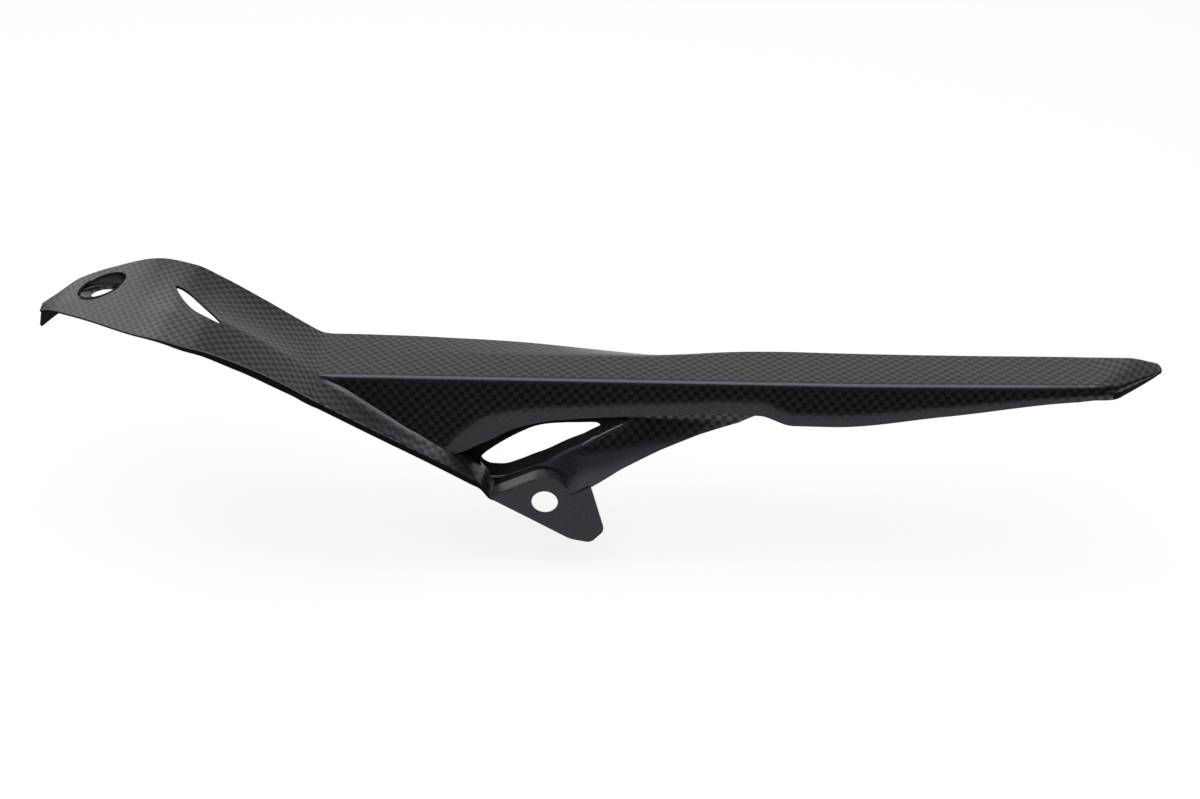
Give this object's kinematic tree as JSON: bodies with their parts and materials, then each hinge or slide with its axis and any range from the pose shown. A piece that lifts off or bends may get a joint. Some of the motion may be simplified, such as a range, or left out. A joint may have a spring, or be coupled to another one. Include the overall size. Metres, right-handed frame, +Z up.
{
  "type": "motorcycle chain guard",
  "caption": "Moulded carbon-fibre chain guard: a long creased beak, a windowed web down to a bolt bracket, and a raised front plate with a sunk bolt hole and a leaf-shaped slot.",
  "frame": {"origin": "axis of the bracket's bolt hole, on the bracket plate's outer face", "axes": "+X rearward along the crease, +Y inboard along the bracket's bolt axis, +Z up"},
  "size_m": [0.4438, 0.0723, 0.0855],
  "materials": {
    "carbon_laminate": "satin lacquer over plain-weave carbon-fibre laminate"
  },
  "bodies": {
    "root": {"chain_guard": "carbon_laminate"}
  },
  "joints": []
}
